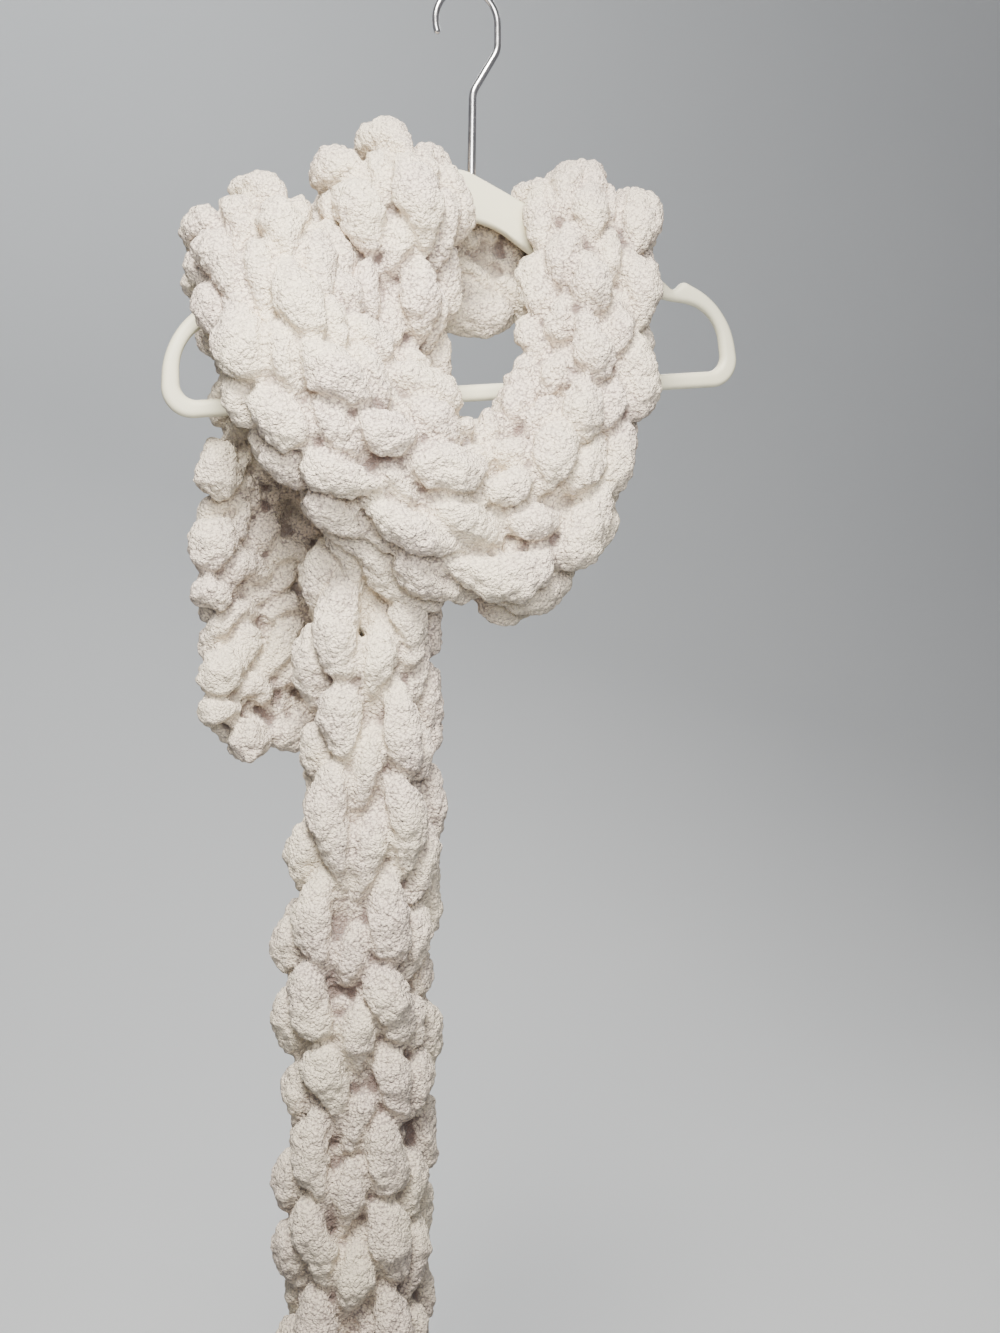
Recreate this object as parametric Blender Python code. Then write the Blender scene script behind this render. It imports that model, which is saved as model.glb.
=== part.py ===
"""A jumbo-knit scarf wound round a moulded clothes hanger with a steel hook.

The scarf is one long strip of stocking stitch, three stitches wide, that is worked from
its short end to its long end. Its course over the hanger is a table of sections, each
from the outer selvedge to the inner one, and every stretch that shows is a closed wall
lofted between them, with the stitches raised on its knit side and the purl rows, lower,
on its other side. The origin is the seat of the hook, where a rail would hold it. The
hanger lies in the XZ plane, the knit side of the front faces -Y, and +Z is up.
"""

import math

import bmesh
import bpy
import numpy as np

MM = 0.001  # the tables are in millimetres

# ---------------------------------------------------------------- the scarf's sizes, mm
KNIT_SIDE = 19.0  # from the middle of the cloth to the crest of a stitch
PURL_SIDE = 17.0  # from the middle of the cloth to the crest of a purl row
KNIT_RELIEF = 12.0  # how far a crest stands above the deepest gap between stitches
PURL_RELIEF = 7.0
SELVEDGE_ROUNDING = 5.0  # power of the curve that rounds a section off at its edges
SELVEDGE_SCALLOP = 0.035  # part of the half width that each course's turn stands out
STITCHES = 3  # across the strip
SEAM = 0.028  # gap between two stretches, in courses; 0.3 mm or more

# Course, outer selvedge (x, y, z), inner selvedge (x, y, z), bulge to the knit side.
SECTIONS = (
    # hanging free behind the hanger, purl side forward
    (0.0, (-150, 26, -524), (-64, 26, -528), 12),
    (0.6, (-168, 26, -498), (-60, 26, -502), 18),
    (1.8, (-175, 26, -450), (-60, 26, -450), 20),
    (3.1, (-177, 26, -395), (-64, 26, -392), 20),
    (4.3, (-174, 26, -340), (-70, 26, -335), 20),
    (5.3, (-166, 26, -292), (-77, 26, -285), 22),
    # over the left arm in a loose loop
    (6.3, (-168, 27, -248), (-86, 26, -238), 25),
    (7.1, (-178, 29, -216), (-97, 25, -200), 28),
    (7.7, (-182, 20, -202), (-106, 17, -182), 29),
    (8.4, (-180, 0, -198), (-112, 0, -173), 29),
    (9.1, (-177, -22, -209), (-112, -22, -182), 29),
    (9.9, (-176, -44, -238), (-111, -47, -203), 29),
    # down across the front
    (10.9, (-166, -62, -284), (-103, -66, -238), 28),
    (11.9, (-141, -70, -322), (-76, -74, -266), 28),
    (12.8, (-111, -74, -354), (-42, -72, -290), 30),
    (13.7, (-62, -76, -396), (-22, -60, -300), 34),
    (14.4, (-12, -72, -412), (-8, -56, -300), 36),
    # round the bottom of the cowl and up to the right arm
    (15.1, (36, -64, -394), (4, -56, -292), 36),
    (15.8, (66, -60, -358), (14, -56, -278), 34),
    (16.6, (86, -54, -308), (24, -52, -258), 32),
    (17.4, (99, -46, -262), (31, -46, -238), 32),
    (18.2, (106, -38, -212), (36, -38, -208), 32),
    (19.1, (112, -26, -178), (43, -26, -175), 29),
    (20.0, (121, 0, -168), (52, 0, -138), 24),
    # round the back of the hanger's neck
    (20.8, (120, 24, -178), (45, 24, -150), 26),
    (21.4, (102, 30, -206), (38, 26, -148), 24),
    (22.0, (62, 29, -214), (26, 26, -140), 18),
    (22.7, (14, 28, -213), (12, 26, -134), 16),
    (23.3, (-36, 29, -207), (-2, 26, -134), 18),
    (23.9, (-75, 28, -188), (-14, 25, -138), 23),
    # over the left arm beside the hook, and down behind the strip across the front
    (24.5, (-88, 22, -168), (-26, 20, -138), 24),
    (25.3, (-87, 0, -153), (-27, 0, -120), 21),
    (26.2, (-90, -25, -168), (-28, -25, -148), 25),
    (27.1, (-96, -26, -206), (-33, -26, -188), 24),
    (27.9, (-100, -26, -250), (-36, -26, -232), 20),
    (28.8, (-106, -26, -300), (-36, -26, -284), 16),
    (29.7, (-110, -26, -350), (-37, -26, -340), 16),
    (30.7, (-112, -28, -400), (-42, -28, -394), 20),
    # the long end, curled almost to a tube by its own weight
    (31.6, (-112, -30, -452), (-50, -30, -450), 30),
    (32.8, (-117, -30, -524), (-54, -30, -524), 39),
    (33.8, (-121, -30, -586), (-56, -30, -586), 39),
    (34.8, (-133, -30, -648), (-61, -30, -648), 39),
    (35.8, (-129, -30, -704), (-60, -30, -704), 39),
    (36.8, (-130, -30, -764), (-61, -30, -764), 39),
    (38.1, (-138, -30, -844), (-65, -30, -844), 39),
    (39.4, (-137, -30, -922), (-62, -30, -922), 39),
    (40.7, (-134, -30, -1000), (-60, -30, -1000), 38),
    (42.0, (-130, -30, -1080), (-58, -30, -1080), 35),
    (43.0, (-126, -30, -1142), (-60, -30, -1142), 26),
)

# Name of a stretch, its first and its last course.
STRETCHES = (
    ("short_end", 0.0, 6.0),
    ("left_loop", 6.0, 10.5),
    ("front_cross", 10.5, 16.0),
    ("right_rise", 16.0, 20.5),
    ("neck_back", 20.5, 24.25),
    ("left_fall", 24.25, 31.5),
    ("long_tail", 31.5, 43.0),
)

# A knit stitch is a pair of legs that start together and spread as they run along the
# strip: places of a leg's ends in stitches from the stitch's middle, and in courses.
LEG_START = (0.05, -0.12)
LEG_END = (0.45, 1.12)
LEG_HALF_WIDTH = 0.25  # in stitches
PURL_WAVE = 0.16  # how far a purl row bends to and fro, in courses
KNIT_POINTS = 6  # to a stitch, across the knit side
PURL_POINTS = 3
RINGS = 6  # to a course
RING_CLEARANCE = 0.05  # courses from a stretch's end to the next ring
FREE_END = 0.35  # courses over which the strip's own ends round off
FREE_END_THICKNESS = 0.55  # of the full thickness, at the very end

# --------------------------------------------------------------- the hanger's sizes, mm
HANGER_CROWN = (-10.1, -118.4)  # x and z of the crown, in the part's frame
HANGER_ROLL = math.radians(3.6)  # the load pulls the left arm down
HANGER_THICKNESS = 10.0
HANGER_ROUNDING = 3.6
HANGER_SHARP = math.radians(50)  # only its edges above this angle are shaded as edges

# Corners of the band from the crown, round the right-hand end, to the middle of the bar:
# the outer edge's x, z and fillet radius, the inner edge's, and points on the fillets.
HANGER_CORNERS = (
    ((0, 3.9, 28), (0, -17.1, 64), 9),
    ((80, -39.2, 40), (58, -63.0, 40), 3),
    ((153.5, -78.7, 8), (150, -92.0, 60), 3),
    ((164.0, -88.0, 4.5), (163, -95.2, 30), 3),
    ((172.5, -81.0, 5), (174, -97.0, 30), 3),
    ((208.5, -100.7, 58), (199, -103.5, 33), 7),
    ((216.5, -159.0, 20), (202.3, -147.3, 11), 6),
    ((0, -159.0, 0), (0, -147.3, 0), 1),
)

# ----------------------------------------------------------------- the hook's sizes, mm
HOOK_INNER_RADIUS = 20.1
HOOK_WIRE = 2.4  # radius of the wire round the hook
SHANK_WIRE = 3.1  # and at its foot
SHANK_FOOT = (3.0, -132.0)  # x and z, inside the hanger's neck
SHANK_BENDS = ((4.2, -66.0, 16.0), (22.5, -37.0, 14.0))  # x, z and radius
BEND_RINGS = 6
HOOK_END = math.radians(205)  # how far round the hook the wire goes
HOOK_RINGS = 19
HOOK_SIDES = 10
TIP_RINGS = ((0.6, 0.8), (1.0, 0.4))  # beyond the last ring, and radius, in wire radii
SOCKET_TOP = 6.0  # above the crown, where the bore starts
SOCKET_SIDES = 16
SOCKET_CLEARANCE = 0.6

# Name, base colour, roughness, metallic.
MATERIALS = {
    "yarn": ((0.80, 0.765, 0.745), 0.95, 0.0),
    "hanger": ((0.74, 0.73, 0.66), 0.55, 0.0),
    "hook": ((0.62, 0.62, 0.64), 0.22, 1.0),
}


def along(knots, values, places):
    """A smooth curve through the values at their knots, read at the places."""
    slopes = np.empty_like(values)
    slopes[1:-1] = (values[2:] - values[:-2]) / (knots[2:] - knots[:-2])[:, None]
    slopes[0] = (values[1] - values[0]) / (knots[1] - knots[0])
    slopes[-1] = (values[-1] - values[-2]) / (knots[-1] - knots[-2])
    span = np.clip(np.searchsorted(knots, places, side="right") - 1, 0, len(knots) - 2)
    width = (knots[span + 1] - knots[span])[:, None]
    t = (places - knots[span])[:, None] / width
    return (
        (2 * t**3 - 3 * t**2 + 1) * values[span]
        + (t**3 - 2 * t**2 + t) * width * slopes[span]
        + (3 * t**2 - 2 * t**3) * values[span + 1]
        + (t**3 - t**2) * width * slopes[span + 1]
    )


class Strip:
    """The scarf's middle surface, read by course and by place across it."""

    STEP = 0.02  # courses either side, for the direction of the strip

    def __init__(self, sections):
        self.courses = np.array([section[0] for section in sections], float)
        self.values = np.array(
            [[*outer, *inner, bulge] for _, outer, inner, bulge in sections], float
        )

    def middle(self, course):
        read = along(self.courses, self.values, np.array([course]))[0]
        return (read[0:3] + read[3:6]) / 2

    def section(self, course, across, height):
        """Points of one section: across from -1, the outer selvedge, to 1, the inner one,
        and height above the middle surface, to the knit side."""
        read = along(self.courses, self.values, np.array([course]))[0]
        outer, inner, bulge = read[0:3], read[3:6], read[6]
        chord = inner - outer
        half_chord = np.linalg.norm(chord) / 2
        sideways = chord / (2 * half_chord)
        ahead = self.middle(course + self.STEP) - self.middle(course - self.STEP)
        facing = np.cross(ahead, sideways)
        facing /= np.linalg.norm(facing)
        half_angle = 2 * math.atan2(bulge, half_chord)
        radius = (half_chord**2 + bulge**2) / (2 * bulge)
        angle = np.asarray(across) * half_angle
        reach = radius + np.asarray(height)
        return (
            (outer + inner) / 2
            + np.outer(reach * np.sin(angle), sideways)
            + np.outer(reach * np.cos(angle) - (radius - bulge), facing)
        )


def knit_height(place, course):
    """Height of the knit side, 0 in the deepest gap and 1 on a crest, at a place across
    in stitches from the middle one."""
    from_middle = abs(place - round(place))
    highest = 0.0
    for started in (-1, 0, 1):
        ahead = course - math.floor(course) - started
        share = (ahead - LEG_START[1]) / (LEG_END[1] - LEG_START[1])
        axis = LEG_START[0] + (LEG_END[0] - LEG_START[0]) * share
        across = (from_middle - axis) / LEG_HALF_WIDTH
        highest = max(highest, 1 - across**2 - (2 * share - 1) ** 2)
    return math.sqrt(highest)


def purl_height(place, course):
    """The same on the other side, where each course is one row that bends to and fro."""
    bend = PURL_WAVE * math.cos(2 * math.pi * place)
    return 0.5 + 0.5 * math.cos(2 * math.pi * (course - bend))


def rounded(across):
    """How much of the thickness is left at a place across the strip."""
    return np.sqrt(np.maximum(0.0, 1 - np.abs(across) ** SELVEDGE_ROUNDING))


def end_rounding(course):
    """Thins the strip towards its two free ends."""
    distance = min(course - SECTIONS[0][0], SECTIONS[-1][0] - course)
    share = min(1.0, max(0.0, distance / FREE_END))
    return FREE_END_THICKNESS + (1 - FREE_END_THICKNESS) * math.sin(share * math.pi / 2)


def wall_ring(strip, course):
    """One closed ring round the wall: the knit side, then back along the purl side."""
    half = STITCHES / 2
    knit_places = np.linspace(-half, half, STITCHES * KNIT_POINTS + 1)
    purl_places = np.linspace(half, -half, STITCHES * PURL_POINTS + 1)[1:-1]
    knit = [KNIT_SIDE - KNIT_RELIEF * (1 - knit_height(p, course)) for p in knit_places]
    purl = [PURL_SIDE - PURL_RELIEF * (1 - purl_height(p, course)) for p in purl_places]

    turn = math.cos(2 * math.pi * (course - 0.5))
    across = np.concatenate([knit_places, purl_places]) / half
    height = np.concatenate([knit, np.negative(purl)])
    height *= rounded(across) * end_rounding(course)
    across[: len(knit_places)] *= 1 + SELVEDGE_SCALLOP * turn
    return strip.section(course, across, height)


def ring_courses(first, last):
    """The courses at which a stretch has a ring: its ends and an even spacing between."""
    inner = np.arange(math.ceil(first * RINGS), math.floor(last * RINGS) + 1) / RINGS
    start = first if first == SECTIONS[0][0] else first + SEAM / 2
    end = last if last == SECTIONS[-1][0] else last - SEAM / 2
    lowest, highest = start + RING_CLEARANCE, end - RING_CLEARANCE
    kept = [course for course in inner if lowest < course < highest]
    return [start, *kept, end]


def wall_cap(ring):
    """An end of the wall, in faces that each reach from the knit to the purl side."""
    knit = ring[: STITCHES * KNIT_POINTS + 1]
    purl = [knit[0], *reversed(ring[len(knit) :]), knit[-1]]
    step = KNIT_POINTS // PURL_POINTS
    faces = []
    for k in range(len(purl) - 1):
        face = knit[k * step : (k + 1) * step + 1]
        face += [corner for corner in (purl[k + 1], purl[k]) if corner not in face]
        faces.append(face)
    return faces


def round_cap(ring):
    return [ring]


def loft(name, rings, material, cap=None):
    """A body through rings of equal point counts; without a cap it closes on itself."""
    mesh = bmesh.new()
    loops = [[mesh.verts.new(point * MM) for point in ring] for ring in rings]
    count = len(loops[0])
    pairs = list(zip(loops, loops[1:]))
    if cap is None:
        pairs.append((loops[-1], loops[0]))
    for here, there in pairs:
        for k in range(count):
            after = (k + 1) % count
            mesh.faces.new((here[k], here[after], there[after], there[k]))
    if cap is not None:
        for face in cap(loops[0]):
            mesh.faces.new(reversed(face))
        for face in cap(loops[-1]):
            mesh.faces.new(face)
    bmesh.ops.triangulate(mesh, faces=mesh.faces[:])
    if mesh.calc_volume(signed=True) < 0:
        bmesh.ops.reverse_faces(mesh, faces=mesh.faces[:])
    data = bpy.data.meshes.new(name)
    mesh.to_mesh(data)
    mesh.free()
    data.shade_smooth()
    data.materials.append(material)
    made = bpy.data.objects.new(name, data)
    bpy.context.scene.collection.objects.link(made)
    return made


def fillet(before, corner, after, radius, count):
    """Points on the arc that rounds a corner of an outline."""
    before, corner, after = (np.array(point, float) for point in (before, corner, after))
    if radius == 0:
        return [corner] * count
    back = (before - corner) / np.linalg.norm(before - corner)
    on = (after - corner) / np.linalg.norm(after - corner)
    half = math.acos(np.clip(np.dot(back, on), -1, 1)) / 2
    bisector = (back + on) / np.linalg.norm(back + on)
    centre = corner + bisector * radius / math.sin(half)
    start = corner + back * radius / math.tan(half) - centre
    end = corner + on * radius / math.tan(half) - centre
    turn = math.atan2(start[0] * end[1] - start[1] * end[0], np.dot(start, end))
    angles = [0.5 * turn] if count == 1 else np.linspace(0, turn, count)
    return [
        centre
        + start * math.cos(angle)
        + np.array([-start[1], start[0]]) * math.sin(angle)
        for angle in angles
    ]


def band_edge(side):
    """The outer (0) or inner (1) edge of the hanger's band as x, z points."""
    right = [(row[side], row[2]) for row in HANGER_CORNERS]
    left = [((-corner[0], *corner[1:]), count) for corner, count in right[-2:0:-1]]
    corners = right + left
    points = []
    for k, (corner, count) in enumerate(corners):
        before = corners[k - 1][0]
        after = corners[(k + 1) % len(corners)][0]
        points += fillet(before[:2], corner[:2], after[:2], corner[2], count)
    return points


def band_ring(outer, inner):
    """A rounded section of the hanger's band, from its outer to its inner edge."""
    width = np.linalg.norm(inner - outer)
    inward = (inner - outer) / width
    half = HANGER_THICKNESS / 2
    soft = HANGER_ROUNDING
    shy = soft * (1 - math.sqrt(0.5))
    corner = ((0, half - soft), (shy, half - shy), (soft, half))
    front = corner + tuple((width - u, y) for u, y in reversed(corner))
    outline = front + tuple((u, -y) for u, y in reversed(front))
    ring = [outer + inward * u for u, _ in outline]
    return np.array([(p[0], -y, p[1]) for p, (_, y) in zip(ring, outline)])


def make_hanger(material):
    """The moulded body: crown, notched arms, round ends and bar in one closed band."""
    rings = [band_ring(o, i) for o, i in zip(band_edge(0), band_edge(1))]
    hanger = loft("hanger_body", rings, material)
    hanger.location = (HANGER_CROWN[0] * MM, 0, HANGER_CROWN[1] * MM)
    hanger.rotation_euler = (0, -HANGER_ROLL, 0)
    hanger.data.set_sharp_from_angle(angle=HANGER_SHARP)
    return hanger


def hook_route():
    """x, z points of the wire's axis from its foot to its tip."""
    radius = HOOK_INNER_RADIUS + HOOK_WIRE
    side = (radius, -HOOK_INNER_RADIUS)
    corners = [SHANK_FOOT, *[bend[:2] for bend in SHANK_BENDS], side]
    points = [np.array(SHANK_FOOT, float)]
    for k, bend in enumerate(SHANK_BENDS):
        points += fillet(corners[k], corners[k + 1], corners[k + 2], bend[2], BEND_RINGS)
    for angle in np.linspace(0, HOOK_END, HOOK_RINGS):
        round_it = np.array([math.cos(angle), math.sin(angle)]) * radius
        points.append(np.array([0, -HOOK_INNER_RADIUS]) + round_it)
    return points


def wire_ring(point, ahead, radius):
    """A round section of the wire across its direction, in the XZ plane."""
    sideways = np.array([ahead[1], -ahead[0]])
    ring = []
    for k in range(HOOK_SIDES):
        angle = 2 * math.pi * k / HOOK_SIDES
        flat = point + sideways * radius * math.cos(angle)
        ring.append((flat[0], radius * math.sin(angle), flat[1]))
    return np.array(ring)


def make_hook(material):
    """The steel wire: a straight shank, a double bend and the hook, with a rounded tip."""
    route = hook_route()
    lengths = [0.0]
    for here, there in zip(route, route[1:]):
        lengths.append(lengths[-1] + np.linalg.norm(there - here))
    shank = lengths[-HOOK_RINGS]
    rings = []
    for k, point in enumerate(route):
        ahead = route[min(k + 1, len(route) - 1)] - route[max(k - 1, 0)]
        ahead /= np.linalg.norm(ahead)
        thinned = min(1.0, lengths[k] / shank)
        radius = SHANK_WIRE + (HOOK_WIRE - SHANK_WIRE) * thinned
        rings.append(wire_ring(point, ahead, radius))
    for beyond, share in TIP_RINGS:
        rings.append(wire_ring(point + ahead * beyond * HOOK_WIRE, ahead, share * HOOK_WIRE))
    return loft("hook", rings, material, cap=round_cap)


def cut_socket(hanger):
    """Bores the hanger's neck for the shank, a little wider than the wire."""
    top = HANGER_CROWN[1] + SOCKET_TOP
    depth = top - SHANK_FOOT[1] + SOCKET_CLEARANCE
    bpy.ops.mesh.primitive_cylinder_add(
        vertices=SOCKET_SIDES,
        radius=(SHANK_WIRE + SOCKET_CLEARANCE) * MM,
        depth=depth * MM,
        location=(SHANK_FOOT[0] * MM, 0, (top - depth / 2) * MM),
    )
    cutter = bpy.context.object
    cutter.name = "socket_cutter"
    cutter.hide_render = True
    cutter.display_type = "WIRE"
    cut = hanger.modifiers.new("socket", "BOOLEAN")
    cut.operation = "DIFFERENCE"
    cut.object = cutter


def make_material(name):
    colour, roughness, metallic = MATERIALS[name]
    material = bpy.data.materials.new(name)
    material.use_nodes = True
    shader = material.node_tree.nodes["Principled BSDF"]
    shader.inputs["Base Color"].default_value = (*colour, 1)
    shader.inputs["Roughness"].default_value = roughness
    shader.inputs["Metallic"].default_value = metallic
    return material


def main():
    for old in list(bpy.data.objects):
        bpy.data.objects.remove(old, do_unlink=True)
    materials = {name: make_material(name) for name in MATERIALS}

    strip = Strip(SECTIONS)
    pieces = []
    for name, first, last in STRETCHES:
        rings = [wall_ring(strip, course) for course in ring_courses(first, last)]
        pieces.append(loft(name, rings, materials["yarn"], cap=wall_cap))

    hanger = make_hanger(materials["hanger"])
    pieces += [hanger, make_hook(materials["hook"])]
    cut_socket(hanger)

    root = bpy.data.objects.new("scarf_on_hanger", None)
    bpy.context.scene.collection.objects.link(root)
    for piece in pieces:
        piece.parent = root


main()
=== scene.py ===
"""Looks for the knit scarf on its hanger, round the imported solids.

The scarf is one long yarn: a centreline that runs through every stitch, course after
course, along the same strip that the solids were lofted on. The yarn of each stretch is
made into a skin of its own, which is smoothed and then given its creases and its tufts.
The hanger and its hook are lofted again with finer sections.
"""

import math

import bpy
import numpy as np
from mathutils import Matrix, Vector, noise


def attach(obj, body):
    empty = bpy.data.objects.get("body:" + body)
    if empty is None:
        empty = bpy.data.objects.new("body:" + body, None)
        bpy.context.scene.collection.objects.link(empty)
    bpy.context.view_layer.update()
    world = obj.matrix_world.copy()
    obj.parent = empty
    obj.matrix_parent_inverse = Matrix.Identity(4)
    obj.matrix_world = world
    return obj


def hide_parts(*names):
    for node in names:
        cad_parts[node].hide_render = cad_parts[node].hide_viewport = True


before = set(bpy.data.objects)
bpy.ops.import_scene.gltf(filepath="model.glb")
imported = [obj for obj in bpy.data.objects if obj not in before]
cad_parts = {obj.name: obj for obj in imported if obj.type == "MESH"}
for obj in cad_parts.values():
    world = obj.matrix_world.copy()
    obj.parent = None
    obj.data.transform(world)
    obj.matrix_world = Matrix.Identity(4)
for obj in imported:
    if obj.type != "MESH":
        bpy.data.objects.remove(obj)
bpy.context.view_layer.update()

MM = 0.001  # the scarf's and the hanger's tables are in millimetres

# ------------------------------------------------------------ the strip, as in the CAD
# Course, outer selvedge (x, y, z), inner selvedge (x, y, z), bulge to the knit side.
SECTIONS = (
    # hanging free behind the hanger, purl side forward
    (0.0, (-150, 26, -524), (-64, 26, -528), 12),
    (0.6, (-168, 26, -498), (-60, 26, -502), 18),
    (1.8, (-175, 26, -450), (-60, 26, -450), 20),
    (3.1, (-177, 26, -395), (-64, 26, -392), 20),
    (4.3, (-174, 26, -340), (-70, 26, -335), 20),
    (5.3, (-166, 26, -292), (-77, 26, -285), 22),
    # over the left arm in a loose loop
    (6.3, (-168, 27, -248), (-86, 26, -238), 25),
    (7.1, (-178, 29, -216), (-97, 25, -200), 28),
    (7.7, (-182, 20, -202), (-106, 17, -182), 29),
    (8.4, (-180, 0, -198), (-112, 0, -173), 29),
    (9.1, (-177, -22, -209), (-112, -22, -182), 29),
    (9.9, (-176, -44, -238), (-111, -47, -203), 29),
    # down across the front
    (10.9, (-166, -62, -284), (-103, -66, -238), 28),
    (11.9, (-141, -70, -322), (-76, -74, -266), 28),
    (12.8, (-111, -74, -354), (-42, -72, -290), 30),
    (13.7, (-62, -76, -396), (-22, -60, -300), 34),
    (14.4, (-12, -72, -412), (-8, -56, -300), 36),
    # round the bottom of the cowl and up to the right arm
    (15.1, (36, -64, -394), (4, -56, -292), 36),
    (15.8, (66, -60, -358), (14, -56, -278), 34),
    (16.6, (86, -54, -308), (24, -52, -258), 32),
    (17.4, (99, -46, -262), (31, -46, -238), 32),
    (18.2, (106, -38, -212), (36, -38, -208), 32),
    (19.1, (112, -26, -178), (43, -26, -175), 29),
    (20.0, (121, 0, -168), (52, 0, -138), 24),
    # round the back of the hanger's neck
    (20.8, (120, 24, -178), (45, 24, -150), 26),
    (21.4, (102, 30, -206), (38, 26, -148), 24),
    (22.0, (62, 29, -214), (26, 26, -140), 18),
    (22.7, (14, 28, -213), (12, 26, -134), 16),
    (23.3, (-36, 29, -207), (-2, 26, -134), 18),
    (23.9, (-75, 28, -188), (-14, 25, -138), 23),
    # over the left arm beside the hook, and down behind the strip across the front
    (24.5, (-88, 22, -168), (-26, 20, -138), 24),
    (25.3, (-87, 0, -153), (-27, 0, -120), 21),
    (26.2, (-90, -25, -168), (-28, -25, -148), 25),
    (27.1, (-96, -26, -206), (-33, -26, -188), 24),
    (27.9, (-100, -26, -250), (-36, -26, -232), 20),
    (28.8, (-106, -26, -300), (-36, -26, -284), 16),
    (29.7, (-110, -26, -350), (-37, -26, -340), 16),
    (30.7, (-112, -28, -400), (-42, -28, -394), 20),
    # the long end, curled almost to a tube by its own weight
    (31.6, (-112, -30, -452), (-50, -30, -450), 30),
    (32.8, (-117, -30, -524), (-54, -30, -524), 39),
    (33.8, (-121, -30, -586), (-56, -30, -586), 39),
    (34.8, (-133, -30, -648), (-61, -30, -648), 39),
    (35.8, (-129, -30, -704), (-60, -30, -704), 39),
    (36.8, (-130, -30, -764), (-61, -30, -764), 39),
    (38.1, (-138, -30, -844), (-65, -30, -844), 39),
    (39.4, (-137, -30, -922), (-62, -30, -922), 39),
    (40.7, (-134, -30, -1000), (-60, -30, -1000), 38),
    (42.0, (-130, -30, -1080), (-58, -30, -1080), 35),
    (43.0, (-126, -30, -1142), (-60, -30, -1142), 26),
)

# Node and piece of each stretch, its courses of stitches, how it is held and on what.
STRETCHES = (
    ("short_end", "yarn_short_end", 0, 6, "hung", ("yarn_left_loop",)),
    ("left_loop", "yarn_left_loop", 6, 10, "draped", ("hanger_band",)),
    ("front_cross", "yarn_front_cross", 10, 16, "draped", ("yarn_left_fall",)),
    ("right_rise", "yarn_right_rise", 16, 20, "draped", ("hanger_band",)),
    ("neck_back", "yarn_neck_back", 20, 24, "draped", ("hanger_band",)),
    ("left_fall", "yarn_left_fall", 24, 31, "draped", ("hanger_band",)),
    ("long_tail", "yarn_long_tail", 31, 43, "hung", ("yarn_left_fall",)),
)

# ---------------------------------------------------------------------- the yarn's path
# A control point of the yarn is its place across in stitches, its place along in
# courses, its height over the middle of the cloth and its radius, both in mm.
STITCHES = 3
COURSES = 43

# The yarn through half a stitch, from the middle of its foot to the middle of its head,
# across from the stitch's middle. The last column is its share of SKEW and RIDE.
HALF_LOOP = (
    (-0.50, -0.38, -6.0, 15.0, 0.0),
    (-0.26, -0.25, -5.0, 13.0, 0.5),
    (-0.14, 0.05, 0.5, 12.4, 1.0),
    (-0.23, 0.44, 8.3, 15.6, 1.0),
    (-0.34, 0.80, 4.0, 13.6, 1.0),
    (-0.39, 1.12, -4.0, 12.6, 0.5),
    (0.00, 1.34, -6.5, 15.2, 0.0),
)
LEG_START = 2  # the row above where a leg starts
LEG_MIDDLE = 3  # and the one halfway along it
MIRRORED = (-1, 1, 1, 1)
SKEW = 0.20  # a stitch's left leg lies ahead of its right one by twice this, in courses
RIDE = 3.8  # and under it by twice this, in mm
LEAN = 0.10  # and both legs start further to the right by this, in stitches
TURN = (0.06, 0.11, -1.0, 12.4)  # the yarn's turn at a selvedge, past the outermost stitch
EDGE_FOOT = (0.30, 0.0, 0.0, 3.0)  # what the outermost foot has more, outwards
EDGE_LEG = (0.04, 0.0, -2.0, 0.0)  # and the outermost leg, at its middle
FREE_LEG = (0.06, 0.0, -4.5, 2.6)  # the same in the long end, where it is free to swell
FREE_COURSE = 31  # the long end's first course
EDGE_FIRST = 0.28  # no control point is nearer than this to the first end, in courses
EDGE_LAST = 0.22  # nor than this to the last
UNEVEN_POINT = (0.03, 0.055, 1.3, 1.2)  # how far each number strays at each point
UNEVEN_STITCH = (0.08, 0.17, 3.5, 2.3)  # and from stitch to stitch
SEED = 11

PITCH = 56.0  # mm to a course at which the yarn has its own radius
WALE = 38.0  # and mm to a stitch across the strip
CROWDING = 0.4  # power by which it is thinner where there is less room
SQUEEZE = (0.70, 1.04)  # least and most of its own radius

# ---------------------------------------------------------------------- the yarn's skin
PATH_STEP = 0.1  # of the way from one control point to the next, where the path is read
YARN_STEP = 4.0  # mm between sections of the yarn
YARN_SIDES = 14
TUBE_SIDE = (0.31, 0.57, 0.76)  # no tube starts along this; its first side is square to it
TUBE_CAP = 0.7  # how far a tube's tip stands out, of its radius
VOXEL = 2.25  # mm

SMOOTHING = 2
NORMAL_SMOOTHING = 3
SMOOTHING_SHARE = 0.5  # of the way to its neighbours' mean that a point goes each time
NEXT_TURN = 34.0  # mm along the yarn to what counts as another turn of it
CREASE_REACH = 6.5  # mm from the next turn of yarn to where a crease starts
CREASE_DEPTH = 6.0  # mm
CREASE_CURVE = 1.7  # power of the curve that a crease falls along
CREASE_SMOOTHS = 0.6  # share of the tufts' height that is gone deep in a crease
# the point layer by which the yarn's material paints shade into its creases
CREASE_LAYER = "crease"
CREASE_MOST = 1.5  # the layer's highest value
PIT_DEPTH = 3.4  # mm deeper, where three turns of yarn meet
CHUNK = 2000  # points of the skin that are set against the whole path at a time

TUFT_SIZE = 6.4  # mm
TUFT_HEIGHT = 2.3
TUFT_FALL = 1.4  # how steeply a tuft falls away from its middle
TUFT_SUNK = 0.5  # share of a tuft's height that lies under the skin
LUMP_SIZE = 16.0
LUMP_HEIGHT = 2.8

rng = np.random.RandomState(SEED)


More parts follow.
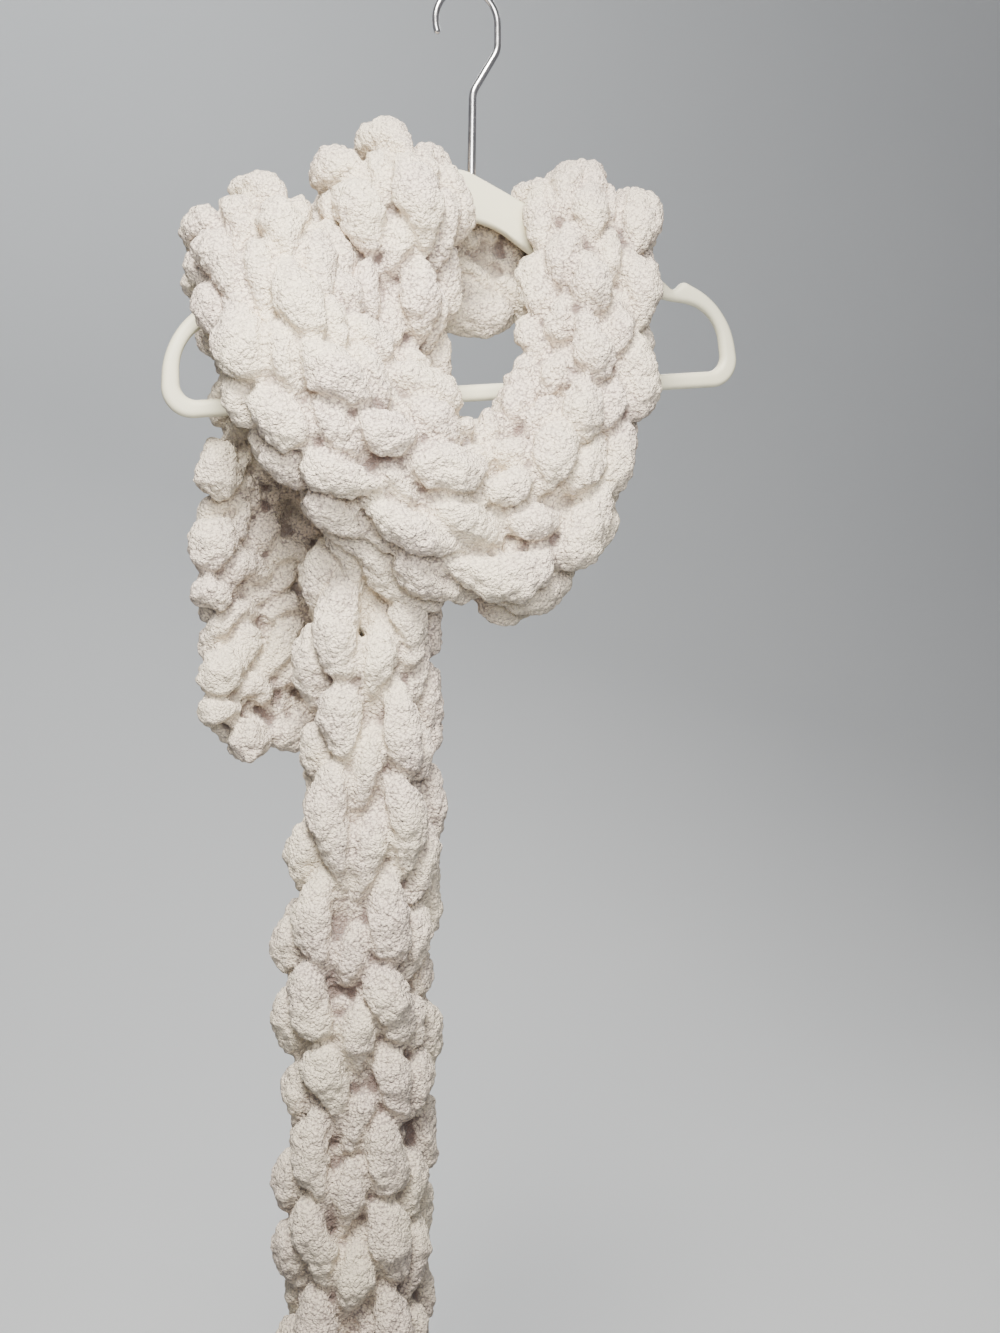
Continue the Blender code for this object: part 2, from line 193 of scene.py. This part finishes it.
def along(knots, values, places):
    """A smooth curve through the values at their knots, read at the places."""
    slopes = np.empty_like(values)
    slopes[1:-1] = (values[2:] - values[:-2]) / (knots[2:] - knots[:-2])[:, None]
    slopes[0] = (values[1] - values[0]) / (knots[1] - knots[0])
    slopes[-1] = (values[-1] - values[-2]) / (knots[-1] - knots[-2])
    span = np.clip(np.searchsorted(knots, places, side="right") - 1, 0, len(knots) - 2)
    width = (knots[span + 1] - knots[span])[:, None]
    t = (places - knots[span])[:, None] / width
    return (
        (2 * t**3 - 3 * t**2 + 1) * values[span]
        + (t**3 - 2 * t**2 + t) * width * slopes[span]
        + (3 * t**2 - 2 * t**3) * values[span + 1]
        + (t**3 - t**2) * width * slopes[span + 1]
    )


def resampled(points, step):
    """A path's points at even steps, how far along each of them is, and how far along
    each point of the path itself is."""
    lengths = np.linalg.norm(np.diff(points, axis=0), axis=1)
    travelled = np.concatenate([[0], np.cumsum(lengths)])
    places = np.arange(0, travelled[-1], step)
    even = np.array([np.interp(places, travelled, points[:, axis]) for axis in range(3)]).T
    return even, places, travelled


class Strip:
    """The scarf's middle surface, read by course and by place across it."""

    STEP = 0.02  # courses either side, for the direction of the strip

    def __init__(self, sections):
        self.courses = np.array([section[0] for section in sections], float)
        self.values = np.array(
            [[*outer, *inner, bulge] for _, outer, inner, bulge in sections], float
        )

    def middle(self, courses):
        read = along(self.courses, self.values, courses)
        return (read[:, 0:3] + read[:, 3:6]) / 2

    def points(self, courses, across, height):
        """A point for each course, place across (-1 to 1) and height over the middle."""
        read = along(self.courses, self.values, courses)
        outer, inner, bulge = read[:, 0:3], read[:, 3:6], read[:, 6]
        chord = inner - outer
        half_chord = np.linalg.norm(chord, axis=1) / 2
        sideways = chord / (2 * half_chord)[:, None]
        ahead = self.middle(courses + self.STEP) - self.middle(courses - self.STEP)
        facing = np.cross(ahead, sideways)
        facing /= np.linalg.norm(facing, axis=1)[:, None]
        half_angle = 2 * np.arctan2(bulge, half_chord)
        radius = (half_chord**2 + bulge**2) / (2 * bulge)
        angle = across * half_angle
        reach = radius + height
        return (
            (outer + inner) / 2
            + (reach * np.sin(angle))[:, None] * sideways
            + (reach * np.cos(angle) - (radius - bulge))[:, None] * facing
        )


STRIP = Strip(SECTIONS)


def course_path(course):
    """The yarn's control points through one course, in the order that it runs: from
    selvedge to selvedge, and back again in the next course."""
    half = np.array(HALF_LOOP)
    lag = np.outer(half[:, 4], (0, SKEW, -RIDE, 0))
    under = half[:, :4] + lag
    over = (half[:, :4] - lag) * MIRRORED
    under[LEG_START, 0] += LEAN
    over[LEG_START, 0] += LEAN
    edge = np.array(FREE_LEG if course >= FREE_COURSE else EDGE_LEG)
    level = np.array((0, 0, RIDE, 0))  # the outermost legs lie neither over nor under
    path = []
    for stitch in range(STITCHES):
        left, right = under.copy(), over.copy()
        if stitch == 0:
            left[LEG_MIDDLE] += edge * MIRRORED + level
        if stitch == STITCHES - 1:
            right[LEG_MIDDLE] += edge - level
        moved = np.concatenate([left, right[-2::-1]])
        moved += (stitch - (STITCHES - 1) / 2, course, 0, 0)
        moved += rng.uniform(-1, 1, 4) * UNEVEN_STITCH
        path.extend(moved if stitch == 0 else moved[1:])  # neighbours share a foot
    path = np.array(path)
    path[0] += np.array(EDGE_FOOT) * MIRRORED
    path[-1] += EDGE_FOOT
    path += rng.uniform(-1, 1, path.shape) * UNEVEN_POINT
    return path if course % 2 == 0 else path[::-1]


def turn_point(end, course):
    """The yarn's turn beside a course's last foot, halfway to the next course's first."""
    side = math.copysign(1, end[0])
    return np.array([side * (STITCHES / 2 + TURN[0]), course + TURN[1], *TURN[2:]])


def yarn_path(first, last):
    """Control points through the courses of one stretch, with the turn after each."""
    path = []
    for course in range(first, last):
        row = course_path(course)
        path.extend(row)
        path.append(turn_point(row[-1], course))
    path = np.array(path)
    path[:, 1] = np.clip(path[:, 1], EDGE_FIRST, COURSES - EDGE_LAST)
    return path


def yarn_axis(path):
    """Points every few millimetres along the yarn's axis, and its radius at each."""
    knots = np.arange(len(path), dtype=float)
    fine = np.arange(0, len(path) - 1, PATH_STEP)
    read = along(knots, path, fine)
    across = read[:, 0] * 2 / STITCHES
    points = STRIP.points(read[:, 1], across, read[:, 2])
    ahead = STRIP.points(read[:, 1] + STRIP.STEP, across, read[:, 2])
    beside = STRIP.points(read[:, 1], across + STRIP.STEP * 2 / STITCHES, read[:, 2])
    pitch = np.linalg.norm(ahead - points, axis=1) / STRIP.STEP
    wale = np.linalg.norm(beside - points, axis=1) / STRIP.STEP
    room = (pitch / PITCH) * (wale / WALE)
    radii = read[:, 3] * np.clip(room**CROWDING, *SQUEEZE)
    axis, places, travelled = resampled(points, YARN_STEP)
    return axis, np.interp(places, travelled, radii)


def add_object(name, data):
    made = bpy.data.objects.new(name, data)
    bpy.context.scene.collection.objects.link(made)
    return made


def mesh_object(name, points, faces):
    """An object with these faces and points, which are in millimetres."""
    data = bpy.data.meshes.new(name)
    data.from_pydata((np.asarray(points) * MM).tolist(), [], faces)
    data.validate()
    data.update()
    return add_object(name, data)


def tube(points, radii, sides):
    """Points and faces of a round tube with a blunt tip at each end."""
    ahead = np.gradient(points, axis=0)
    ahead /= np.linalg.norm(ahead, axis=1)[:, None]
    side = np.cross(ahead[0], TUBE_SIDE)
    angles = np.arange(sides) * 2 * math.pi / sides
    rings = []
    for point, direction, radius in zip(points, ahead, radii):
        side = side - direction * np.dot(side, direction)
        side /= np.linalg.norm(side)
        up = np.cross(direction, side)
        rings.append(
            point + radius * (np.outer(np.cos(angles), side) + np.outer(np.sin(angles), up))
        )
    tips = (
        points[0] - ahead[0] * radii[0] * TUBE_CAP,
        points[-1] + ahead[-1] * radii[-1] * TUBE_CAP,
    )
    verts = np.concatenate([*rings, tips])
    faces = []
    for k in range(len(points) - 1):
        for j in range(sides):
            after = (j + 1) % sides
            a, b = k * sides + j, k * sides + after
            faces.append((a, b, b + sides, a + sides))
    first_tip, last_tip = len(verts) - 2, len(verts) - 1
    last = (len(points) - 1) * sides
    for j in range(sides):
        after = (j + 1) % sides
        faces.append((first_tip, after, j))
        faces.append((last_tip, last + j, last + after))
    return verts, faces


def voxel_skin(made):
    """A new mesh: the outside of an object's mesh, remeshed."""
    remesh = made.modifiers.new("skin", "REMESH")
    remesh.mode = "VOXEL"
    remesh.voxel_size = VOXEL * MM
    deps = bpy.context.evaluated_depsgraph_get()
    return bpy.data.meshes.new_from_object(made.evaluated_get(deps))


def read_vectors(data, name):
    vectors = np.empty(len(data.vertices) * 3)
    data.vertices.foreach_get(name, vectors)
    return vectors.reshape(-1, 3)


def write_points(data, points):
    data.vertices.foreach_set("co", (points * MM).ravel())
    data.update()


class Neighbours:
    """Averages over each point's neighbours along the mesh's edges."""

    def __init__(self, data):
        edges = np.empty(len(data.edges) * 2, dtype=np.int64)
        data.edges.foreach_get("vertices", edges)
        self.a, self.b = edges.reshape(-1, 2).T
        self.size = len(data.vertices)
        self.count = np.bincount(self.a, minlength=self.size)
        self.count = self.count + np.bincount(self.b, minlength=self.size)

    def mean(self, values):
        total = np.empty_like(values)
        for axis in range(values.shape[1]):
            total[:, axis] = np.bincount(self.a, values[self.b, axis], self.size)
            total[:, axis] += np.bincount(self.b, values[self.a, axis], self.size)
        return total / np.maximum(self.count, 1)[:, None]

    def smoothed(self, values, rounds):
        for _ in range(rounds):
            values = values + SMOOTHING_SHARE * (self.mean(values) - values)
        return values


def creases(skin, axis, radii):
    """How deep each point of the skin is between two turns of the yarn, and how near it
    is to a third: both from 0 to 1."""
    apart = NEXT_TURN / YARN_STEP
    order = np.arange(len(axis))
    gaps = np.empty((2, len(skin)))
    axis_square = (axis**2).sum(axis=1)
    for start in range(0, len(skin), CHUNK):
        part = skin[start : start + CHUNK]
        square = (part**2).sum(axis=1)[:, None] + axis_square - 2 * part @ axis.T
        gap = np.sqrt(np.maximum(square, 0)) - radii
        for turn in gaps:
            gap[np.abs(order - gap.argmin(axis=1)[:, None]) < apart] = np.inf
            turn[start : start + CHUNK] = gap.min(axis=1)
    return np.clip(1 - gaps / CREASE_REACH, 0, 1) ** CREASE_CURVE


def tufts(points):
    """How far each point of the skin stands out for its lumps and its tufts."""
    out = np.empty(len(points))
    for k, point in enumerate(points):
        place = Vector(point)
        distances = noise.voronoi(place / TUFT_SIZE)[0]
        tuft = 1 - min(1.0, distances[0] * TUFT_FALL) ** 2
        lump = noise.noise(place / LUMP_SIZE)
        out[k] = TUFT_HEIGHT * (tuft - TUFT_SUNK) + LUMP_HEIGHT * lump
    return out


def make_stretch(piece, first, last):
    """The skin of one stretch's yarn. Its crease layer is 0 in the open, 1 deep in a
    crease and higher where three turns of yarn meet; the yarn's material paints shade by it."""
    axis, radii = yarn_axis(yarn_path(first, last))
    verts, faces = tube(axis, radii, YARN_SIDES)
    rough = mesh_object(piece + "_tube", verts, faces)
    data = voxel_skin(rough)
    bpy.data.objects.remove(rough, do_unlink=True)

    near = Neighbours(data)
    skin = near.smoothed(read_vectors(data, "co") / MM, SMOOTHING)
    write_points(data, skin)
    outward = near.smoothed(read_vectors(data, "normal"), NORMAL_SMOOTHING)
    crease, pit = creases(skin, axis, radii)
    out = tufts(skin) * (1 - CREASE_SMOOTHS * crease) - CREASE_DEPTH * crease - PIT_DEPTH * pit
    write_points(data, skin + outward * out[:, None])
    layer = data.attributes.new(CREASE_LAYER, "FLOAT", "POINT")
    layer.data.foreach_set("value", np.minimum(crease + pit, CREASE_MOST))
    data.shade_smooth()
    data.name = piece
    return add_object(piece, data)


# -------------------------------------------------------------------------- materials
class Nodes:
    """Short calls for building a material's node tree. Scales are to a metre."""

    def __init__(self, name):
        self.material = bpy.data.materials.new(name)
        self.material.use_nodes = True
        self.tree = self.material.node_tree
        self.shader = self.tree.nodes["Principled BSDF"]

    def feed(self, socket, value):
        if isinstance(value, bpy.types.NodeSocket):
            self.tree.links.new(value, socket)
        else:
            socket.default_value = value

    def fill(self, node, inputs):
        """Feeds a node's inputs by their names, with _ for each space."""
        for key, value in inputs.items():
            self.feed(node.inputs[key.replace("_", " ")], value)
        return node

    def add(self, kind, settings=None, **inputs):
        node = self.tree.nodes.new(kind)
        for key, value in (settings or {}).items():
            setattr(node, key, value)
        return self.fill(node, inputs)

    def shade(self, **inputs):
        self.fill(self.shader, inputs)

    def math(self, operation, *values):
        node = self.add("ShaderNodeMath", {"operation": operation})
        for socket, value in zip(node.inputs, values):
            self.feed(socket, value)
        return node.outputs[0]

    def mix(self, factor, first, second):
        """A mix of two colours."""
        node = self.add("ShaderNodeMix", {"data_type": "RGBA"})
        self.feed(node.inputs[0], factor)
        self.feed(node.inputs[6], first)
        self.feed(node.inputs[7], second)
        return node.outputs[2]

    def ramp(self, value, low, high, first=0.0, last=1.0):
        """From first to last as the value goes from low to high."""
        return self.add(
            "ShaderNodeMapRange",
            {"clamp": True},
            Value=value,
            From_Min=low,
            From_Max=high,
            To_Min=first,
            To_Max=last,
        ).outputs[0]

    def place(self):
        return self.add("ShaderNodeTexCoord").outputs["Object"]

    def noise(self, scale, detail, roughness):
        return self.add(
            "ShaderNodeTexNoise",
            Vector=self.place(),
            Scale=scale,
            Detail=detail,
            Roughness=roughness,
        ).outputs["Fac"]

    def cells(self, scale):
        """The distance to the middle of the nearest of many small cells."""
        return self.add(
            "ShaderNodeTexVoronoi", {"feature": "F1"}, Vector=self.place(), Scale=scale
        ).outputs["Distance"]

    def bump(self, height, distance, strength):
        return self.add(
            "ShaderNodeBump", Height=height, Distance=distance, Strength=strength
        ).outputs["Normal"]


def chenille():
    """Tufted pile with painted shade: pinker in its curls' hollows, dotted between tufts, dark
    brown deep in creases.
    """
    n = Nodes("chenille")
    crest = (0.97, 0.87, 0.66, 1)
    # the pile's painted shade colour, beside its own colour in the open
    rosy_shade = (0.92, 0.775, 0.68, 1)
    # the colour of the painted shade dots in the gaps between tufts
    pit = (0.40, 0.32, 0.29, 1)
    # the colour of the painted shade deep in creases
    deep = (0.21, 0.15, 0.13, 1)
    crease = n.add("ShaderNodeAttribute", {"attribute_name": CREASE_LAYER}).outputs["Fac"]
    tuft = n.cells(440.0)
    fine = n.cells(1000.0)
    curls = n.noise(800.0, 3.0, 0.65)
    patches = n.noise(16.0, 2.0, 0.5)

    # Painted shade: pinker in the low hollows of the fine curls; random patches of the pile
    # are pinker too.
    curl_shade_and_patches = n.math("ADD", n.ramp(patches, 0.38, 0.66), n.ramp(curls, 0.6, 0.4))
    tone = n.mix(n.math("MULTIPLY", curl_shade_and_patches, 0.5), crest, rosy_shade)

    # Painted shade: dark dots in the gaps between tufts and in the curls' hollows, stronger in
    # creases and in random patches.
    gap_shade_dots = n.math("MULTIPLY", n.ramp(tuft, 0.42, 0.68), n.ramp(curls, 0.62, 0.46))
    gap_shade_dots = n.math("MULTIPLY", gap_shade_dots, n.ramp(crease, -0.9, 0.6))
    gap_shade_dots = n.math("MULTIPLY", gap_shade_dots, n.math("ADD", n.ramp(patches, 0.36, 0.6), 0.5))
    tone = n.mix(gap_shade_dots, tone, pit)

    # Painted shade: dark brown deep in creases and where three turns of yarn meet, ragged by
    # the curls and only in random patches.
    ragged = n.math("ADD", crease, n.math("MULTIPLY", curls, 0.9))
    hole_shade = n.math("MULTIPLY", n.ramp(ragged, 1.33, 1.74), n.ramp(patches, 0.2, 0.5))
    tone = n.mix(hole_shade, tone, deep)

    domes = n.math("ADD", n.math("MULTIPLY", tuft, tuft), n.math("MULTIPLY", fine, 0.45))
    height = n.math("SUBTRACT", n.math("MULTIPLY", curls, 0.6), domes)
    n.shade(
        Base_Color=tone,
        Normal=n.bump(height, 0.0022, 1.0),
        Roughness=0.95,
        Specular_IOR_Level=0.2,
        Sheen_Weight=0.3,
        Sheen_Roughness=0.55,
        Sheen_Tint=(1.0, 0.97, 0.94, 1),
    )
    return n.material


def moulded():
    """Ivory moulded plastic: a satin skin with faint mottling and a few rubbed specks."""
    n = Nodes("moulded_ivory")
    clean = (0.72, 0.69, 0.52, 1)
    cool = (0.68, 0.66, 0.51, 1)
    rubbed = (0.52, 0.51, 0.46, 1)
    tone = n.mix(n.ramp(n.noise(22.0, 3.0, 0.6), 0.4, 0.62), clean, cool)
    specks = n.ramp(n.noise(420.0, 2.0, 0.5), 0.70, 0.78)
    n.shade(
        Base_Color=n.mix(n.math("MULTIPLY", specks, 0.35), tone, rubbed),
        Normal=n.bump(n.noise(900.0, 2.0, 0.5), 0.0002, 0.25),
        Roughness=n.ramp(n.noise(60.0, 2.0, 0.5), 0.0, 1.0, 0.42, 0.58),
    )
    return n.material


def bright_wire():
    """Plated steel wire, with faint drawing marks and dulled patches."""
    n = Nodes("bright_wire")
    clear = (0.66, 0.66, 0.68, 1)
    dull = (0.50, 0.50, 0.51, 1)
    n.shade(
        Base_Color=n.mix(n.ramp(n.noise(90.0, 3.0, 0.6), 0.4, 0.7), clear, dull),
        Roughness=n.ramp(n.noise(300.0, 3.0, 0.6), 0.0, 1.0, 0.16, 0.34),
        Metallic=1.0,
    )
    return n.material


def pale_floor():
    """Plain matt grey, faintly uneven."""
    n = Nodes("pale_floor")
    dark = (0.765, 0.785, 0.795, 1)
    light = (0.785, 0.803, 0.81, 1)
    n.shade(
        Base_Color=n.mix(n.ramp(n.noise(1.5, 3.0, 0.5), 0.3, 0.7), dark, light),
        Roughness=0.9,
    )
    return n.material


# -------------------------------------------------------------------- hanger and hook
HANGER_CROWN = (-10.1, -118.4)  # x and z of the crown
HANGER_ROLL = math.radians(3.6)  # the load pulls the left arm down
HANGER_THICKNESS = 10.0
HANGER_ROUNDING = 4.2
ROUNDING_POINTS = 6
# Outer corner (x, z, fillet radius), inner corner and points on the fillets, from the
# crown round the right-hand end to the middle of the bar.
HANGER_CORNERS = (
    ((0, 3.9, 28), (0, -17.1, 64), 25),
    ((80, -39.2, 40), (58, -63.0, 40), 9),
    ((153.5, -78.7, 8), (150, -92.0, 60), 9),
    ((164.0, -88.0, 4.5), (163, -95.2, 30), 9),
    ((172.5, -81.0, 5), (174, -97.0, 30), 9),
    ((208.5, -100.7, 58), (199, -103.5, 33), 21),
    ((216.5, -159.0, 20), (202.3, -147.3, 11), 17),
    ((0, -159.0, 0), (0, -147.3, 0), 1),
)

HOOK_INNER_RADIUS = 20.1
HOOK_WIRE = 2.4  # radius of the wire at the hook
SHANK_WIRE = 3.1  # and at the shank's foot
SHANK_FOOT = (3.0, -131.0)  # x and z
SHANK_BENDS = ((4.2, -66.0, 16.0), (22.5, -37.0, 14.0))  # x, z and fillet radius
BEND_POINTS = 12  # on each of the two
HOOK_END = math.radians(205)  # round the hook, from its right-hand side
HOOK_POINTS = 61
HOOK_STEP = 1.5  # mm between sections of the wire
HOOK_SIDES = 20
TIP_SHARE = 0.05  # least share of its section that the wire has at its tip


def fillet(before, corner, after, radius, count):
    """Points on the arc that rounds a corner of an outline."""
    before, corner, after = (np.array(point, float) for point in (before, corner, after))
    if radius == 0:
        return [corner] * count
    back = (before - corner) / np.linalg.norm(before - corner)
    on = (after - corner) / np.linalg.norm(after - corner)
    half = math.acos(np.clip(np.dot(back, on), -1, 1)) / 2
    bisector = (back + on) / np.linalg.norm(back + on)
    centre = corner + bisector * radius / math.sin(half)
    start = corner + back * radius / math.tan(half) - centre
    end = corner + on * radius / math.tan(half) - centre
    turn = math.atan2(start[0] * end[1] - start[1] * end[0], np.dot(start, end))
    angles = [0.5 * turn] if count == 1 else np.linspace(0, turn, count)
    return [
        centre
        + start * math.cos(angle)
        + np.array([-start[1], start[0]]) * math.sin(angle)
        for angle in angles
    ]


def band_edge(side):
    """The outer (0) or inner (1) edge of the hanger's band as x, z points."""
    right = [(row[side], row[2]) for row in HANGER_CORNERS]
    left = [((-corner[0], *corner[1:]), count) for corner, count in right[-2:0:-1]]
    corners = right + left
    points = []
    for k, (corner, count) in enumerate(corners):
        before = corners[k - 1][0]
        after = corners[(k + 1) % len(corners)][0]
        points += fillet(before[:2], corner[:2], after[:2], corner[2], count)
    return points


def band_ring(outer, inner):
    """A rounded section of the hanger's band, from its outer to its inner edge."""
    width = np.linalg.norm(inner - outer)
    inward = (inner - outer) / width
    half = HANGER_THICKNESS / 2
    soft = HANGER_ROUNDING
    turns = np.linspace(0, math.pi / 2, ROUNDING_POINTS)
    corner = [(soft * (1 - math.cos(a)), half - soft * (1 - math.sin(a))) for a in turns]
    front = corner + [(width - u, y) for u, y in reversed(corner)]
    outline = front + [(u, -y) for u, y in reversed(front)]
    ring = [outer + inward * u for u, _ in outline]
    return np.array([(p[0], -y, p[1]) for p, (_, y) in zip(ring, outline)])


def make_hanger():
    """The hanger's band, as a closed ring of sections, rolled and moved to its crown."""
    rings = [band_ring(outer, inner) for outer, inner in zip(band_edge(0), band_edge(1))]
    count, sides = len(rings), len(rings[0])
    points = np.concatenate(rings)
    cos, sin = math.cos(HANGER_ROLL), math.sin(HANGER_ROLL)
    x, z = points[:, 0].copy(), points[:, 2].copy()
    points[:, 0] = HANGER_CROWN[0] + x * cos - z * sin
    points[:, 2] = HANGER_CROWN[1] + x * sin + z * cos
    faces = []
    for k in range(count):
        for j in range(sides):
            after, there = (j + 1) % sides, (k + 1) % count
            faces.append(
                (k * sides + j, k * sides + after, there * sides + after, there * sides + j)
            )
    made = mesh_object("hanger_band", points, faces)
    made.data.shade_smooth()
    return made


def make_hook():
    """The wire: up from the shank's foot, through two bends and round the hook."""
    radius = HOOK_INNER_RADIUS + HOOK_WIRE
    side = (radius, -HOOK_INNER_RADIUS)
    corners = [SHANK_FOOT, *[bend[:2] for bend in SHANK_BENDS], side]
    route = [np.array(SHANK_FOOT, float)]
    for k, bend in enumerate(SHANK_BENDS):
        route += fillet(corners[k], corners[k + 1], corners[k + 2], bend[2], BEND_POINTS)
    shank = len(route)
    for angle in np.linspace(0, HOOK_END, HOOK_POINTS):
        round_it = np.array([math.cos(angle), math.sin(angle)]) * radius
        route.append(np.array([0, -HOOK_INNER_RADIUS]) + round_it)
    route = np.array(route)
    points = np.column_stack([route[:, 0], np.zeros(len(route)), route[:, 1]])
    axis, places, travelled = resampled(points, HOOK_STEP)
    thinned = np.minimum(1, places / travelled[shank])
    radii = SHANK_WIRE + (HOOK_WIRE - SHANK_WIRE) * thinned
    left = travelled[-1] - places
    radii *= np.sqrt(np.clip(1 - (1 - left / HOOK_WIRE).clip(0, 1) ** 2, TIP_SHARE, 1))
    verts, faces = tube(axis, radii, HOOK_SIDES)
    made = mesh_object("hook_wire", verts, faces)
    made.data.shade_smooth()
    return made


# ------------------------------------------------ stage, lights and camera, in metres
STAGE_LEVEL = -1.8
STAGE_HALF_WIDTH = 9.0
STAGE_FRONT = -7.0
STAGE_BACK = 3.6
STAGE_BEND = 1.6  # radius of the bend from the floor up into the backdrop
STAGE_BEND_POINTS = 25
STAGE_TOP = 5.0

WORLD_COLOUR = (0.88, 0.865, 0.895, 1)
WORLD_STRENGTH = 0.27
# Name, place, what it faces, watts, width, spread in degrees and colour of each light.
LIGHTS = (
    ("key", (-0.45, -0.95, 0.68), (-0.05, 0, -0.42), 12.6, 0.45, 76, (1.0, 0.955, 0.875)),
    ("front", (-0.25, -0.95, -0.08), (-0.05, 0, -0.25), 3.2, 0.4, 84, (1.0, 0.97, 0.93)),
    ("back", (0.9, 2.2, 1.2), (-0.05, 0, -0.35), 58, 1.6, 180, (1.0, 0.98, 0.95)),
    ("wall", (-0.3, 1.4, 1.5), (1.1, 3.6, 0.1), 40, 1.4, 180, (0.97, 0.99, 1.0)),
)

CAMERA_PLACE = (-0.376, -1.100, -0.303)
CAMERA_FACING = (0.3387, 0.9306, -0.1392)
CAMERA_LENS = 43.75  # mm
CAMERA_SENSOR = 36  # mm, along the frame's longer side


def make_stage():
    """A pale floor that bends up into a backdrop."""
    profile = [(STAGE_FRONT, STAGE_LEVEL)]
    for angle in np.linspace(0, math.pi / 2, STAGE_BEND_POINTS):
        y = STAGE_BACK - STAGE_BEND + STAGE_BEND * math.sin(angle)
        profile.append((y, STAGE_LEVEL + STAGE_BEND * (1 - math.cos(angle))))
    profile.append((STAGE_BACK, STAGE_TOP))
    points = [(side * STAGE_HALF_WIDTH, y, z) for y, z in profile for side in (-1, 1)]
    faces = [(k, k + 1, k + 3, k + 2) for k in range(0, len(points) - 2, 2)]
    data = bpy.data.meshes.new("floor")
    data.from_pydata(points, [], faces)
    data.shade_smooth()
    data.materials.append(pale_floor())
    add_object("floor", data)


def make_lights():
    """The world and four soft lights."""
    world = bpy.data.worlds.new("studio")
    world.use_nodes = True
    background = world.node_tree.nodes["Background"]
    background.inputs["Color"].default_value = WORLD_COLOUR
    background.inputs["Strength"].default_value = WORLD_STRENGTH
    bpy.context.scene.world = world
    for name, place, target, power, width, spread, colour in LIGHTS:
        light = bpy.data.lights.new(name, "AREA")
        light.energy = power
        light.size = width
        light.spread = math.radians(spread)
        light.color = colour
        holder = add_object(name, light)
        holder.location = place
        facing = Vector(target) - Vector(place)
        holder.rotation_euler = facing.to_track_quat("-Z", "Y").to_euler()


def make_camera():
    """The camera that was fitted to the photograph."""
    forward = Vector(CAMERA_FACING).normalized()
    right = forward.cross(Vector((0, 0, 1))).normalized()
    up = right.cross(forward)
    camera = bpy.data.cameras.new("camera")
    camera.lens = CAMERA_LENS
    camera.sensor_width = CAMERA_SENSOR
    holder = add_object("camera", camera)
    turn = Matrix((right, up, -forward)).transposed().to_4x4()
    holder.matrix_world = Matrix.Translation(CAMERA_PLACE) @ turn
    bpy.context.scene.camera = holder


def stand_in(made, node, material):
    """Shows a piece in place of a node of the CAD."""
    made.data.materials.append(material)
    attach(made, "root")
    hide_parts(node)


def main():
    make_camera()
    make_stage()
    make_lights()

    yarn = chenille()
    for node, piece, first, last, held, rests_on in STRETCHES:
        made = make_stretch(piece, first, last)
        stand_in(made, node, yarn)

    stand_in(make_hanger(), "hanger_body", moulded())
    stand_in(make_hook(), "hook", bright_wire())


main()
